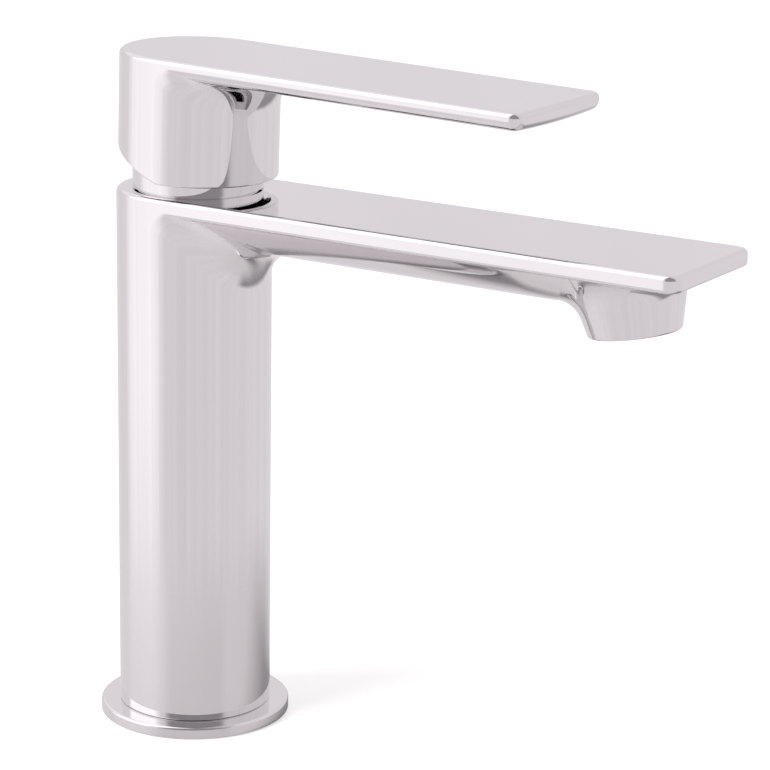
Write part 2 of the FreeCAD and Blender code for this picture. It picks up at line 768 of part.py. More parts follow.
def stem():
    body = new_body("stem")
    bar = sketch_on(body, "XY_Plane", "stem_bar", "-stem_foot")
    rectangle(bar, "-stem_depth / 2", "stem_depth / 2", "-stem_thickness / 2", "stem_thickness / 2")
    pad(body, bar, "stem_foot + stem_square_start")
    square = sketch_on(body, "XY_Plane", "stem_square_end", "stem_square_start")
    rectangle(square, "-stem_square / 2", "stem_square / 2", "-stem_square / 2", "stem_square / 2")
    pad(body, square, "stem_top - stem_square_start")
    shank = sketch_on(body, "XY_Plane", "stem_shank", "-stem_foot")
    circle(shank, "0", "0", "stem_shank_dia")
    pad(body, shank, "stem_ball_drop - stem_foot", backwards=True)
    ball = body.newObject("PartDesign::AdditiveSphere", "stem_ball")
    attach(ball, body, "XY_Plane", "-stem_ball_drop")
    ball.setExpression("Radius", cells("stem_ball_dia / 2"))
    pin_hole = sketch_on(body, "XZ_Plane", "stem_pin_hole")
    circle(pin_hole, "0", "0", "pin_dia + 2 * fit")
    pocket(body, pin_hole, "2 * stem_thickness", both_ways=True)
    place_on_lever(body)


def lever():
    """Hub and blade in one casting, hollow over the cover ring, with a boss for the stem."""
    body = new_body("lever")
    hub = sketch_on(body, "XY_Plane", "hub", "hub_bottom")
    circle(hub, "0", "0", "lever_width")
    pad(body, hub, "lever_top - hub_bottom")

    blade_bottom = "(lever_top - blade_edge)"
    crown_top = "lever_top - blade_edge / 4"
    crown = sketch_on(body, "YZ_Plane", "blade_crown_section")
    outline(crown, [
        ("-blade_flank_width / 2", blade_bottom),
        ("-blade_crown_width / 2", f"{blade_bottom} - blade_crown"),
        ("blade_crown_width / 2", f"{blade_bottom} - blade_crown"),
        ("blade_flank_width / 2", blade_bottom),
        ("blade_flank_width / 2", crown_top),
        ("-blade_flank_width / 2", crown_top),
    ])
    pad(body, crown, "lever_reach - lever_corner")
    fillet(body, "hub_rounding", "lever_blend", lambda point: point.x > 0
           and near(FreeCAD.Vector(point.x, point.y, 0).Length, HUB_R)
           and value(f"{blade_bottom} - blade_crown") - 1e-4 < point.z < value(crown_top) - 1e-4)
    blade = sketch_on(body, "XY_Plane", "blade", blade_bottom)
    tongue(blade, HUB_R, "lever_reach", "lever_corner")
    pad(body, blade, "blade_edge")
    fillet(body, "blade_rounding", "edge_round", lambda point: near(point.z, "lever_top"))

    bevel = sketch_on(body, "XZ_Plane", "hub_bevel_section")
    rise = "(hub_bevel_start + lever_width) * tan(hub_bevel * 1 deg)"
    outline(bevel, [
        ("hub_bevel_start", "hub_bottom"),
        ("-lever_width", f"hub_bottom + {rise}"),
        ("-lever_width", "hub_bottom - open_gap"),
        ("hub_bevel_start", "hub_bottom - open_gap"),
    ])
    pocket(body, bevel, "2 * lever_width", both_ways=True)

    cavity_dia = "(lever_width - 2 * hub_wall)"
    cavity = sketch_on(body, "XY_Plane", "hub_cavity", "hub_bottom")
    circle(cavity, "0", "0", cavity_dia)
    pocket(body, cavity, "hub_boss_bottom - hub_bottom", forwards=True)
    moat = sketch_on(body, "XY_Plane", "hub_moat", "hub_boss_bottom")
    circle(moat, "0", "0", cavity_dia)
    circle(moat, "0", "0", "hub_boss_dia")
    pocket(body, moat, "lever_top - hub_roof - hub_boss_bottom", forwards=True)
    socket = sketch_on(body, "XY_Plane", "stem_socket", "hub_boss_bottom")
    half = "(stem_square / 2 + fit)"
    rectangle(socket, f"-{half}", half, f"-{half}", half)
    pocket(body, socket, "stem_top + open_gap - hub_boss_bottom", forwards=True)
    screw_hole = sketch_on(body, "YZ_Plane", "screw_hole")
    circle(screw_hole, "0", "screw_height", "screw_dia")
    pocket(body, screw_hole, "hub_boss_dia")
    plug_hole = sketch_on(body, "YZ_Plane", "plug_hole", f"hub_wall * 1.5 - {HUB_R}")
    circle(plug_hole, "0", "screw_height", "plug_dia + 2 * fit")
    pocket(body, plug_hole, "3 * hub_wall")
    place_on_lever(body)


def set_screw():
    """Grub screw that lies in the lever's boss, with its key socket to the back."""
    body = turned("set_screw", [
        ("0", "0"),
        ("screw_dia / 2 - fit", "0"),
        ("screw_dia / 2 - fit", "screw_length"),
        ("0", "screw_length"),
    ])
    key = sketch_on(body, "XY_Plane", "key_socket", "screw_length")
    corner = "screw_key / (2 * cos(30 deg))"
    turns = [f"({60 * side} deg)" for side in range(6)]
    outline(key, [(f"{corner} * cos{turn}", f"{corner} * sin{turn}") for turn in turns])
    pocket(body, key, "screw_key_depth")
    place_on_lever(body, "-stem_square / 2", "screw_height", "-90")


def screw_plug():
    body = turned("screw_plug", [
        ("0", "0"),
        ("plug_dia / 2", "0"),
        ("plug_dia / 2", "plug_length"),
        ("0", "plug_length"),
    ])
    fillet(body, "plug_rounding", "edge_round / 3", lambda point: near(point.z, "plug_length"))
    place_on_lever(body, f"-({HUB_R} - plug_length - open_gap)", "screw_height", "-90")


def aerator_shell():
    rim = "(aerator_dia / 2 - fit)"
    body = turned("aerator_shell", [
        (f"{rim} - aerator_lip_width", "aerator_recess"),
        (rim, "aerator_recess"),
        (rim, AERATOR_TOP),
        (AERATOR_BORE_R, AERATOR_TOP),
        (AERATOR_BORE_R, SCREEN_BOTTOM),
        (f"{rim} - aerator_lip_width", SCREEN_BOTTOM),
    ])
    slots = sketch_on(body, "XY_Plane", "key_slots", "aerator_recess")
    half = "key_slot_width / 2"
    inside = f"({rim} - aerator_lip_width / 2)"
    for inner, outer in ((inside, "aerator_dia"), ("-aerator_dia", f"-{inside}")):
        rectangle(slots, inner, outer, f"-{half}", half)
        rectangle(slots, f"-{half}", half, inner, outer)
    pocket(body, slots, "aerator_lip", forwards=True)
    place_in_outlet(body)


def aerator_screen():
    """Honeycomb outlet disc, with hexagonal rows of holes."""
    rim = f"({AERATOR_BORE_R} - fit)"
    body = turned("aerator_screen", [
        ("0", SCREEN_BOTTOM),
        (rim, SCREEN_BOTTOM),
        (rim, INSERT_BOTTOM),
        ("0", INSERT_BOTTOM),
    ])
    holes = sketch_on(body, "XY_Plane", "screen_holes", INSERT_BOTTOM)
    rings = 3
    for row in range(-rings, rings + 1):
        for column in range(-rings - min(row, 0), rings - max(row, 0) + 1):
            if max(abs(row), abs(column), abs(row + column)) < rings:
                across = f"({column} + {row} / 2) * screen_pitch"
                circle(holes, across, f"{row} * screen_pitch * cos(30 deg)", "screen_hole_dia")
    pocket(body, holes, "screen_height")
    place_in_outlet(body)


def aerator_insert():
    """Jet former: a cup upside down with a ring of jets in its roof and a post below them."""
    rim = f"({AERATOR_BORE_R} - fit)"
    roof = f"({AERATOR_TOP} - insert_roof)"
    body = turned("aerator_insert", [
        ("0", f"{INSERT_BOTTOM} + insert_roof"),
        ("insert_post_dia / 2", f"{INSERT_BOTTOM} + insert_roof"),
        ("insert_post_dia / 2", roof),
        (f"{rim} - insert_wall", roof),
        (f"{rim} - insert_wall", INSERT_BOTTOM),
        (rim, INSERT_BOTTOM),
        (rim, AERATOR_TOP),
        ("0", AERATOR_TOP),
    ])
    jets = sketch_on(body, "XY_Plane", "jets", AERATOR_TOP)
    count = 12
    for turn in range(count):
        angle = f"({turn * 360 / count} deg)"
        circle(jets, f"jet_circle_dia / 2 * cos{angle}", f"jet_circle_dia / 2 * sin{angle}", "jet_dia")
    pocket(body, jets, "insert_roof")
    place_in_outlet(body)


def aerator_strainer():
    """Perforated steel dome that lies on the jet former inside the gasket."""
    rim = "(aerator_throat_dia / 2 - running_fit)"
    slope = "(strainer_rise + strainer_wall)"
    top = f"({AERATOR_TOP} + {slope})"
    crown = f"({rim} / 3)"
    body = turned("aerator_strainer", [
        ("0", f"{top} - strainer_wall"),
        (crown, f"{top} - strainer_wall"),
        (f"{rim} - 2 * strainer_flange", AERATOR_TOP),
        (rim, AERATOR_TOP),
        (rim, f"{AERATOR_TOP} + strainer_wall"),
        (f"{rim} - strainer_flange", f"{AERATOR_TOP} + strainer_wall"),
        (crown, top),
        ("0", top),
    ])
    holes = sketch_on(body, "XY_Plane", "strainer_holes", top)
    for count, ring in ((6, f"{rim} * 0.3"), (12, f"{rim} * 0.6")):
        for turn in range(count):
            angle = f"({turn * 360 / count} deg)"
            circle(holes, f"{ring} * cos{angle}", f"{ring} * sin{angle}", "strainer_hole_dia")
    pocket(body, holes, f"2 * {slope}")
    place_in_outlet(body)


def aerator_gasket():
    body = turned("aerator_gasket", [
        ("aerator_throat_dia / 2", AERATOR_TOP),
        ("aerator_dia / 2 - running_fit", AERATOR_TOP),
        ("aerator_dia / 2 - running_fit", AERATOR_SEAT),
        ("aerator_throat_dia / 2", AERATOR_SEAT),
    ])
    place_in_outlet(body)


PIECES = [
    base_ring, base_gasket, body_casting, cap_ring, cartridge_nut, cartridge_housing, housing_oring,
    cartridge_foot, inlet_seals, disc_seals, fixed_disc, moving_disc, disc_carrier, rotor, limit_ring,
    stem_pin, stem, lever, set_screw, screw_plug, aerator_shell, aerator_screen, aerator_insert,
    aerator_strainer, aerator_gasket,
]
for make in PIECES:
    make()
doc.recompute()

failed = [item.Name for item in doc.Objects if "Invalid" in item.State or "Error" in item.State]
if failed:
    raise RuntimeError(f"these objects did not build: {failed}")

INSIDE = [item for ring in doc.Objects if ring.isDerivedFrom("Part::Cut") for item in (ring.Base, ring.Tool)]
GROUPED = [ring for group in doc.Objects if group.isDerivedFrom("Part::Compound") for ring in group.Links]
nodes = [
    item for item in doc.Objects
    if item.isDerivedFrom("PartDesign::Body") or item.isDerivedFrom("Part::Cylinder")
    or item.isDerivedFrom("Part::Compound")
]
nodes = [item for item in nodes if item not in INSIDE and item not in GROUPED]
for node in nodes:
    if node.Shape.isNull() or not node.Shape.isValid():
        raise RuntimeError(f"{node.Label} has no valid shape")

os.makedirs("parts", exist_ok=True)
for node in nodes:
    node.Shape.exportStep(f"parts/{node.Label}.step")
    print(f"{node.Label}: {len(node.Shape.Solids)} solids, {node.Shape.Volume:.1f} mm3")
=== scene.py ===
# %% [markdown]
# A single-lever basin mixer in polished chrome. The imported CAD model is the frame: it holds every
# piece at its real size, the joints and the mounts. This script dresses it. The pieces that the eye
# sees get smooth skins of their own, because a mirror finish shows every facet of a solid's mesh.
# The pieces inside keep their CAD meshes and get real finishes.

import json
import math

import bmesh
import bpy
from mathutils import Matrix, Vector


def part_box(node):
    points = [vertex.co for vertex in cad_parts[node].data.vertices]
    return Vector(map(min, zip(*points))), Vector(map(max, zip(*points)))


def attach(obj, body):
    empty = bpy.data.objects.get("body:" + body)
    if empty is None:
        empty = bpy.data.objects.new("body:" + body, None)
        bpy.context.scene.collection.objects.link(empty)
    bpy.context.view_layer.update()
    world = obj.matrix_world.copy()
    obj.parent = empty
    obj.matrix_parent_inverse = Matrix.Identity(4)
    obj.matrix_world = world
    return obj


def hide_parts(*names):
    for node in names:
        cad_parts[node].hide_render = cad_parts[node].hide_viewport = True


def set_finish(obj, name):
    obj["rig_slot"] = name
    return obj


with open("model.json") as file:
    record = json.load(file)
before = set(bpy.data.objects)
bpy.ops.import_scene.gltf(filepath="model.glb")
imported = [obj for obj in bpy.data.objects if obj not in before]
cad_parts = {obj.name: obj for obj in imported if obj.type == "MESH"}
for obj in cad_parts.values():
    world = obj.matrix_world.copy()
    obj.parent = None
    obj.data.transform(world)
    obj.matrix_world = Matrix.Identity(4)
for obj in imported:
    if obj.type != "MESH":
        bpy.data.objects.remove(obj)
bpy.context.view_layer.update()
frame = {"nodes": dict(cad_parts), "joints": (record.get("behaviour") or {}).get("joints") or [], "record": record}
MM = 0.001
print("CAD nodes:", len(frame["nodes"]))

# %% [markdown]
# Sizes come from the frame, so the skins stay on their solids. The body's box gives the column's
# radius and the spout's reach, the two rings give the column's foot and top, and the lift joint
# gives the lever's pivot. The script works in millimetres and scales a skin to metres at the end.

# %% Sizes from the frame, in millimetres
body_low, body_high = (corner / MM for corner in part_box("body_casting"))
cap_low, cap_high = (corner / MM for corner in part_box("cap_ring"))
ring_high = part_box("base_ring")[1] / MM
lift = next(joint for joint in frame["joints"] if joint["name"] == "lever_lift")
pivot = Vector(lift["pos_m"]) / MM

COLUMN_R = body_high.y
COLUMN_FOOT = ring_high.z
SPOUT_REACH = body_high.x
BODY_TOP = cap_low.z
print("column radius", round(COLUMN_R, 2), "reach", round(SPOUT_REACH, 2), "top", round(BODY_TOP, 2))

# %% [markdown]
# Body and lever are the same kind of casting: a round post with a flat tongue that runs forward
# from its top. A slice along the tongue shows an L: up the front of the post, round a fillet, and
# forward along the underside. So the front and the underside are one grid of quads, laid with
# create_grid and bent to that rule, because no operator bends a grid this way. Walls and rounded
# edges are then extruded from the grid's border. These helpers lay a grid, merge its seams, pick a
# stretch of its border, and extrude that stretch.

# %% Grids and their borders
CLOSE = 1e-4


def grid(bm, rows, columns, place):
    """A sheet of quads whose vertex in a row and a column lies at place(row, column)."""
    made = bmesh.ops.create_grid(bm, x_segments=columns, y_segments=rows, size=0.5)["verts"]
    for vert in made:
        column = round((vert.co.x + 0.5) * columns)
        row = round((vert.co.y + 0.5) * rows)
        vert.co = place(row, column)


def weld(bm):
    """Merge the vertices that lie on each other."""
    bmesh.ops.remove_doubles(bm, verts=bm.verts, dist=CLOSE)


def border(bm, keep):
    """The open edges whose ends both pass a test."""
    return [edge for edge in bm.edges if edge.is_boundary and all(keep(vert.co) for vert in edge.verts)]


def ring_out(bm, edges, move):
    """Extrude a run of edges, and send each new vertex where move says."""
    made = bmesh.ops.extrude_edge_only(bm, edges=edges)["geom"]
    for item in made:
        if isinstance(item, bmesh.types.BMVert):
            item.co = move(item.co)
    return [item for item in made if isinstance(item, bmesh.types.BMEdge) and item.is_boundary]


def quarter_turn(steps):
    """Even angles from 0 to 90 degrees."""
    return [math.pi / 2 * step / steps for step in range(steps + 1)]


# %% [markdown]
# Seen from above, post and tongue have one outline: half a circle at the back, straight sides, and
# a straight end with rounded corners. A plan is its radius, its reach and its corner radius. The
# helpers say where a plan ends, how far inside it a point lies, and where a point of the outline
# goes when the outline is drawn in, which is what the rounded upper edge needs.

# %% The plan of a post with a tongue
HAIR = 1e-6


def tongue_end(y, plan):
    """How far forward the plan reaches at a distance from its middle line."""
    radius, reach, corner = plan
    past = max(0.0, abs(y) - (radius - corner))
    return reach - corner + math.sqrt(max(0.0, corner ** 2 - past ** 2))


def edge_distance(x, y, plan):
    """How far inside the tongue's plan a point lies."""
    radius, reach, corner = plan
    across = radius - abs(y)
    along = reach - x
    if across < corner and along < corner:
        return corner - math.hypot(corner - across, corner - along)
    return min(across, along)


def drawn_in(co, plan, before, after):
    """Move a point of the outline from one inset to the next."""
    radius, reach, corner = plan
    x, y = co.x, co.y
    middle = radius - corner
    straight = reach - corner
    if x < 0:
        scale = (radius - after) / (radius - before)
        return x * scale, y * scale
    if x <= straight + HAIR:
        return x, math.copysign(radius - after, y)
    if abs(y) <= middle:
        return reach - after, y
    scale = (corner - after) / (corner - before)
    return straight + (x - straight) * scale, math.copysign(middle + (abs(y) - middle) * scale, y)


# %% [markdown]
# The skin itself. The angle across the grid runs evenly from -90 to 90 degrees, which gives the
# post an even mesh and the tongue more lines near its edges, where the roundings are. The last rows
# crowd towards the tongue's end for the same reason. The back of the post is a second grid.

# %% The skin of a post with a tongue
ACROSS = 96
POST_ROWS = 12
FILLET_ROWS = 16
TONGUE_ROWS = 120
END_STEPS = (2.6, 2.0, 1.5, 1.1, 0.75, 0.5, 0.3, 0.14, 0.05, 0.0)
TOP_STEPS = 6


def post_and_tongue(plan, top, edge, foot, underside, neck):
    """The skin, open at its foot and at its top, and the rim of its top."""
    radius = plan[0]
    wall_top = top - edge
    turn = [math.radians(-90 + 180 * column / ACROSS) for column in range(ACROSS + 1)]
    leans = quarter_turn(FILLET_ROWS)
    straight = TONGUE_ROWS - len(END_STEPS) + 1
    bm = bmesh.new()

    def neck_height(angle):
        """Where the post's wall ends and the fillet starts."""
        bend = neck(angle)
        return underside(radius * math.cos(angle) + bend, radius * math.sin(angle)) - bend

    def front(row, column):
        angle = turn[column]
        x = 0.0 if column in (0, ACROSS) else radius * math.cos(angle)
        y = radius * math.sin(angle)
        bend = neck(angle)
        high = neck_height(angle)
        if row <= POST_ROWS:
            low = foot(x)
            return Vector((x, y, low + (high - low) * row / POST_ROWS))
        row -= POST_ROWS
        if row <= FILLET_ROWS:
            lean = leans[row]
            return Vector((x + bend * (1 - math.cos(lean)), y, high + bend * math.sin(lean)))
        row -= FILLET_ROWS
        end = tongue_end(y, plan)
        if row <= straight:
            along = x + bend + (end - END_STEPS[0] - x - bend) * row / straight
        else:
            along = end - END_STEPS[row - straight]
        return Vector((along, y, underside(along, y)))

    def back(row, column):
        angle = math.radians(90 + 180 * column / ACROSS)
        x = 0.0 if column in (0, ACROSS) else radius * math.cos(angle)
        y = radius * math.sin(angle)
        if row > POST_ROWS:
            return Vector((x, y, wall_top))
        low = foot(x)
        return Vector((x, y, low + (start - low) * row / POST_ROWS))

    def on_rim(co):
        on_side = abs(abs(co.y) - radius) < CLOSE
        on_end = co.x >= tongue_end(co.y, plan) - CLOSE
        return co.z >= start - CLOSE and (on_side or on_end)

    start = neck_height(turn[0])
    grid(bm, POST_ROWS + FILLET_ROWS + TONGUE_ROWS, ACROSS, front)
    ring_out(bm, border(bm, on_rim), lambda co: Vector((co.x, co.y, wall_top)))
    grid(bm, POST_ROWS + 1, ACROSS, back)
    weld(bm)
    rim = border(bm, lambda co: abs(co.z - wall_top) < CLOSE)
    inset = 0.0
    for lean in quarter_turn(TOP_STEPS)[1:]:
        before = inset
        inset = edge * (1 - math.cos(lean))
        height = wall_top + edge * math.sin(lean)
        rim = ring_out(bm, rim, lambda co: Vector((*drawn_in(co, plan, before, inset), height)))
    return bm, rim


# %% [markdown]
# A skin becomes a piece here. Its seams are merged, edges sharper than 35 degrees stay crisp, and
# weighted normals keep the flat faces flat in their reflections although their edges are rounded.
# The piece rides on a body, has a material slot, and stands for one CAD node.

# %% From skin to piece
CREASE = math.radians(35)
SLIVER = 1e-5


def add_piece(name, bm, body, slot, node):
    weld(bm)
    bmesh.ops.dissolve_degenerate(bm, dist=SLIVER, edges=bm.edges)
    bmesh.ops.scale(bm, vec=(MM, MM, MM), verts=bm.verts)
    bm.normal_update()
    for face in bm.faces:
        face.smooth = True
    for edge in bm.edges:
        edge.smooth = len(edge.link_faces) == 2 and edge.calc_face_angle() < CREASE
    mesh = bpy.data.meshes.new(name)
    bm.to_mesh(mesh)
    bm.free()
    piece = bpy.data.objects.new(name, mesh)
    bpy.context.scene.collection.objects.link(piece)
    normals = piece.modifiers.new("weighted_normals", "WEIGHTED_NORMAL")
    normals.keep_sharp = True
    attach(piece, body)
    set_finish(piece, slot)
    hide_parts(node)
    print(name, len(mesh.polygons), "faces")
    return piece


# %% [markdown]
# The body is a brass casting: the column, with the spout as its tongue. Under the spout's flat plate
# hangs a rounded keel that holds the waterway. Its section swells in the middle and thins out to the
# edges, and it narrows and bows up towards the nozzle, which hides its end. A loft between drawn
# sections would do it too, but a rule for the height at each point of the plan keeps the whole
# underside one smooth sheet. The fillet from column to keel is largest in the middle.

# %% The spout's underside
TIP_CORNER = 3.5
SPOUT_PLAN = (COLUMN_R, SPOUT_REACH, TIP_CORNER)
SPOUT_EDGE = 4.3
PLATE_BOTTOM = BODY_TOP - SPOUT_EDGE
PLATE_EDGE_ROUND = 1.0
KEEL_DEPTH = 9.6
KEEL_HALF = 19.0
KEEL_ROUNDNESS = 2.5
KEEL_TAPER_START = 104.0
KEEL_TAPER_END = 130.0
KEEL_END_HALF = 12.5
KEEL_BOW_START = 126.0
KEEL_BOW_LENGTH = 12.0
NECK_MIDDLE = 12.0
NECK_SIDE = 5.0
NECK_EASE = 1.4


def rounded_edge(distance, size):
    """How much an underside rises within its rounded lower edge."""
    inside = max(0.0, size - distance)
    return size - math.sqrt(max(0.0, size ** 2 - inside ** 2))


def swell(share):
    """The keel's section: full in the middle, and nothing at its edge."""
    return 1 - min(1.0, abs(share)) ** KEEL_ROUNDNESS


def spout_underside(x, y):
    bow = swell(max(0.0, x - KEEL_BOW_START) / KEEL_BOW_LENGTH)
    taper = min(1.0, max(0.0, (x - KEEL_TAPER_START) / (KEEL_TAPER_END - KEEL_TAPER_START)))
    half = KEEL_HALF + (KEEL_END_HALF - KEEL_HALF) * taper * taper * (3 - 2 * taper)
    keel = KEEL_DEPTH * swell(y / half) * bow
    return PLATE_BOTTOM - keel + rounded_edge(edge_distance(x, y, SPOUT_PLAN), PLATE_EDGE_ROUND)


def neck_between(side, middle):
    """A fillet's radius for each direction round a post, from its sides to its middle."""
    return lambda angle: side + (middle - side) * max(0.0, math.cos(angle)) ** NECK_EASE


spout_neck = neck_between(NECK_SIDE, NECK_MIDDLE)
print("plate bottom", round(PLATE_BOTTOM, 2), "keel bottom", round(PLATE_BOTTOM - KEEL_DEPTH, 2))

# %% [markdown]
# The nozzle under the spout's end is part of the casting and holds the aerator. It leans forward and
# flares upward. Its wall meets the keel at the back and the flat plate at the front, so for each
# direction round its axis the script looks for the height where the wall meets the underside. A
# boolean would leave a raw edge there, which is hard to round evenly.

# %% Where the nozzle meets the spout
NOZZLE_RIM = Vector((128.0, 0.0, 122.4))
NOZZLE_LEAN = math.radians(9.6)
NOZZLE_R = 11.4
NOZZLE_FLARE = math.tan(math.radians(12))
NOZZLE_FILLET = 4.4
NOZZLE_SEARCH = 20.0
HALVINGS = 40
BURIED = 0.05


def nozzle_point(angle, radius, height):
    along = Vector((-math.sin(NOZZLE_LEAN), 0, math.cos(NOZZLE_LEAN)))
    forward = Vector((math.cos(NOZZLE_LEAN), 0, math.sin(NOZZLE_LEAN)))
    across = Vector((0, 1, 0))
    return NOZZLE_RIM + along * height + (forward * math.cos(angle) + across * math.sin(angle)) * radius


def wall_point(angle, height):
    return nozzle_point(angle, NOZZLE_R + NOZZLE_FLARE * height, height)


def fillet_end(angle, meeting):
    """Where the rounding between nozzle and spout runs out, a hair inside the underside."""
    corner = wall_point(angle, meeting)
    outward = (corner - nozzle_point(angle, 0, meeting)).to_2d().normalized() * NOZZLE_FILLET
    x, y = corner.x + outward.x, corner.y + outward.y
    return Vector((x, y, spout_underside(x, y) + BURIED))


def meeting_height(angle):
    """How high up its wall the nozzle meets the underside, less what the underside falls beyond it."""
    low, high = 0.0, NOZZLE_SEARCH
    for _ in range(HALVINGS):
        middle = (low + high) / 2
        probe = wall_point(angle, middle)
        if probe.z < spout_underside(probe.x, probe.y):
            low = middle
        else:
            high = middle
    drop = wall_point(angle, low).z - fillet_end(angle, low).z
    return low - max(0.0, drop)


# %% [markdown]
# The nozzle's section goes from its throat down the aerator's seat, round the rim, up the wall and
# out along the rounding. It differs a little in each direction, so it can't be spun, and the
# sections are laid side by side as a grid. The meeting heights are first evened out round the
# nozzle, because a sudden change between two sections would show as a ripple in the mirror finish.

# %% The nozzle's skin
AERATOR_R = 9.25
AERATOR_SEAT = 11.0
THROAT_R = 6.5
THROAT_TOP = 14.0
NOZZLE_EDGE = 0.5
RIM_STEPS = 4
WALL_ROWS = 4
ROUNDING_STEPS = 12
ROUND_NOZZLE = 128
MEETING_SPREAD = 8


def nozzle_column(angle, meeting):
    """The nozzle's section in one direction."""
    inside = [(THROAT_R, THROAT_TOP), (THROAT_R, AERATOR_SEAT), (AERATOR_R, AERATOR_SEAT), (AERATOR_R, 0.0)]
    points = [nozzle_point(angle, radius, height) for radius, height in inside]
    for lean in quarter_turn(RIM_STEPS):
        radius = NOZZLE_R - NOZZLE_EDGE * (1 - math.sin(lean))
        points.append(nozzle_point(angle, radius, NOZZLE_EDGE * (1 - math.cos(lean))))
    corner = wall_point(angle, meeting)
    start = wall_point(angle, meeting - NOZZLE_FILLET)
    end = fillet_end(angle, meeting)
    points += [points[-1].lerp(start, row / WALL_ROWS) for row in range(1, WALL_ROWS)]
    for step in range(ROUNDING_STEPS + 1):
        share = step / ROUNDING_STEPS
        points.append(start.lerp(corner, share).lerp(corner.lerp(end, share), share))
    return points


def neighbours(heights, turn):
    return [heights[(turn + step) % ROUND_NOZZLE] for step in range(-MEETING_SPREAD, MEETING_SPREAD + 1)]


def nozzle_skin():
    turns = range(ROUND_NOZZLE)
    angles = [2 * math.pi * turn / ROUND_NOZZLE for turn in turns]
    heights = [meeting_height(angle) for angle in angles]
    lowest = [min(neighbours(heights, turn)) for turn in turns]
    even = [sum(neighbours(lowest, turn)) / (2 * MEETING_SPREAD + 1) for turn in turns]
    columns = [nozzle_column(angle, height) for angle, height in zip(angles, even)]
    columns.append(columns[0])
    bm = bmesh.new()
    grid(bm, len(columns[0]) - 1, ROUND_NOZZLE, lambda row, column: columns[column][row].copy())
    weld(bm)
    print("nozzle wall from", round(min(even), 2), "to", round(max(even), 2), "mm high")
    return bm


# %% [markdown]
# Collar, bores and the hollow of the column are round, so each is a circle of edges that is extruded
# from one radius and height to the next, as on a lathe. Spin would do it as well, but the ring at
# the column's foot starts from edges that the skin already has.

# %% Turned steps
def ring(bm, centre, radius, height, segments):
    """A bare circle of edges about an upright axis."""
    place = Matrix.Translation((centre.x, centre.y, height))
    made = bmesh.ops.create_circle(bm, segments=segments, radius=radius, matrix=place)["verts"]
    return list(dict.fromkeys(edge for vert in made for edge in vert.link_edges))


def turned_steps(bm, edges, centre, steps):
    """Extrude a ring of edges from one radius and height to the next."""
    for radius, height in steps:
        def move(co):
            outward = (co - centre).to_2d().normalized() * radius
            return Vector((centre.x + outward.x, centre.y + outward.y, height))
        edges = ring_out(bm, edges, move)
    return edges


# %% [markdown]
# The body's skin is closed at the top by a flat face with the cartridge's bore in it, and at the foot
# by a small rounding, the spigot and the hollow with the two ports for the hoses. The rounding draws
# the fine seam between column and base ring. The underside is opened where the nozzle hides it.

# %% The body's skin
EDGE_ROUND = 1.4
ROUND_BORE = 64
COLLAR_R = 15.5
CARTRIDGE_BORE_R = 14.0
CARTRIDGE_SEAT = 122.0
FOOT_ROUND = 0.5
FOOT_STEPS = 4
SPIGOT_R = 18.0
HOLLOW_R = 16.5
HOLLOW_TOP = 110.0
PORT_R = 3.5
PORT_DEPTH = 9.0
PORT_OFFSET = 6.5
ROUND_PORT = 32
NOZZLE_OVERLAP = 1.0


def under_nozzle(face):
    """True for a face of the underside that the nozzle hides."""
    middle = face.calc_center_median()
    if not PLATE_BOTTOM - KEEL_DEPTH - NOZZLE_OVERLAP < middle.z < PLATE_BOTTOM + NOZZLE_OVERLAP:
        return False
    return (middle - NOZZLE_RIM).to_2d().length < NOZZLE_R - NOZZLE_OVERLAP


def body_skin():
    wall_foot = COLUMN_FOOT + FOOT_ROUND
    bm, top_rim = post_and_tongue(SPOUT_PLAN, BODY_TOP, EDGE_ROUND, lambda x: wall_foot,
                                  spout_underside, spout_neck)
    axis = Vector((pivot.x, 0, 0))
    collar = ring(bm, axis, COLLAR_R, BODY_TOP, ROUND_BORE)
    bmesh.ops.triangle_fill(bm, edges=top_rim + collar, use_beauty=True)
    bore = turned_steps(bm, collar, axis, [
        (COLLAR_R, body_high.z), (CARTRIDGE_BORE_R, body_high.z), (CARTRIDGE_BORE_R, CARTRIDGE_SEAT)])
    bmesh.ops.edgeloop_fill(bm, edges=bore)

    foot = border(bm, lambda co: abs(co.z - wall_foot) < CLOSE)
    rounding = [(COLUMN_R - FOOT_ROUND * (1 - math.cos(lean)), wall_foot - FOOT_ROUND * math.sin(lean))
                for lean in quarter_turn(FOOT_STEPS)[1:]]
    roof = turned_steps(bm, foot, Vector(), [
        *rounding, (SPIGOT_R, COLUMN_FOOT), (SPIGOT_R, body_low.z),
        (HOLLOW_R, body_low.z), (HOLLOW_R, HOLLOW_TOP)])
    ports = []
    for side in (-1, 1):
        centre = Vector((pivot.x, side * PORT_OFFSET, 0))
        port = ring(bm, centre, PORT_R, HOLLOW_TOP, ROUND_PORT)
        ports += port
        end = turned_steps(bm, port, centre, [(PORT_R, HOLLOW_TOP + PORT_DEPTH)])
        bmesh.ops.edgeloop_fill(bm, edges=end)
    bmesh.ops.triangle_fill(bm, edges=roof + ports, use_beauty=True)
    bmesh.ops.recalc_face_normals(bm, faces=bm.faces)
    hidden = [face for face in bm.faces if under_nozzle(face)]
    bmesh.ops.delete(bm, geom=hidden, context="FACES")
    return bm


# %% [markdown]
# Inside the column's foot stands a boss with a blind hole for the fixing stud. It is a shell of its
# own, and boss and nozzle are taken into the body's mesh, because the casting is one piece.

# %% The stud's boss, and the whole body
BOSS = Vector((-10.5, 0, COLUMN_FOOT))
BOSS_R = 6.5
BOSS_TOP = COLUMN_FOOT + 25.0
STUD_R = 3.4
STUD_TOP = COLUMN_FOOT + 20.0
ROUND_BOSS = 48


